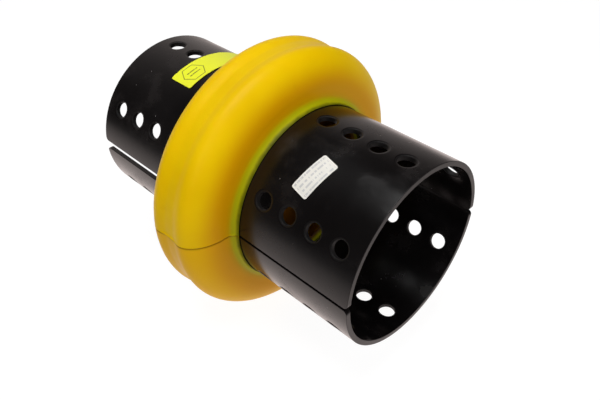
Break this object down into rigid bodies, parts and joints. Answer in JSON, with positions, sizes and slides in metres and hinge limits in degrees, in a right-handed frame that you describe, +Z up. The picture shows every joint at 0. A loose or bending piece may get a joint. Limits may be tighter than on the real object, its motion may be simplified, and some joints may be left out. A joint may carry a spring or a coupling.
{
  "type": "split tyre coupling spacer element",
  "caption": "Split polyurethane tyre bonded to long half-round steel shoes, joining two shaft hubs and taking up misalignment.",
  "frame": {"origin": "on the shaft axis, at the middle of the tyre and of the overall length", "axes": "+X along the shaft towards the front shoes, +Z up through the upper half, the halves part on the XY plane"},
  "size_m": [0.2276, 0.1832, 0.1832],
  "materials": {
    "shoe_steel": "gloss black paint on steel",
    "tyre_polyurethane": "smooth golden yellow cast polyurethane",
    "white_label": "white film label",
    "yellow_label": "fluorescent yellow film label"
  },
  "bodies": {
    "rear_lower": {"rear_lower_shoe": "shoe_steel"},
    "tyre_lower": {"tyre_lower_half": "tyre_polyurethane"},
    "front_lower": {"front_lower_shoe": "shoe_steel"},
    "rear_upper": {"rear_upper_shoe": "shoe_steel", "caution_label": "yellow_label"},
    "tyre_upper": {"tyre_upper_half": "tyre_polyurethane"},
    "front_upper": {"front_upper_shoe": "shoe_steel", "identification_label": "white_label"}
  },
  "joints": [
    {"name": "lower_bend", "type": "hinge", "parent": "rear_lower", "child": "tyre_lower", "pos_m": [0, 0, 0], "axis": [0, 1, 0], "range_deg": [-3, 3], "stiffness_Nm_per_rad": 120, "deforming": ["tyre_lower_half"]},
    {"name": "lower_windup", "type": "hinge", "parent": "tyre_lower", "child": "front_lower", "pos_m": [0, 0, 0], "axis": [1, 0, 0], "range_deg": [-5, 5], "stiffness_Nm_per_rad": 120, "deforming": ["tyre_lower_half"]},
    {"name": "upper_lift", "type": "slide", "parent": "rear_lower", "child": "rear_upper", "axis": [0, 0, 1], "range_m": [0, 0.12]},
    {"name": "upper_bend", "type": "hinge", "parent": "rear_upper", "child": "tyre_upper", "pos_m": [0, 0, 0], "axis": [0, 1, 0], "range_deg": [-3, 3], "stiffness_Nm_per_rad": 120, "deforming": ["tyre_upper_half"]},
    {"name": "upper_windup", "type": "hinge", "parent": "tyre_upper", "child": "front_upper", "pos_m": [0, 0, 0], "axis": [1, 0, 0], "range_deg": [-5, 5], "stiffness_Nm_per_rad": 120, "deforming": ["tyre_upper_half"]}
  ],
  "couplings": [
    {"joint": "upper_bend", "follows": "lower_bend", "ratio": 1},
    {"joint": "upper_windup", "follows": "lower_windup", "ratio": 1}
  ]
}
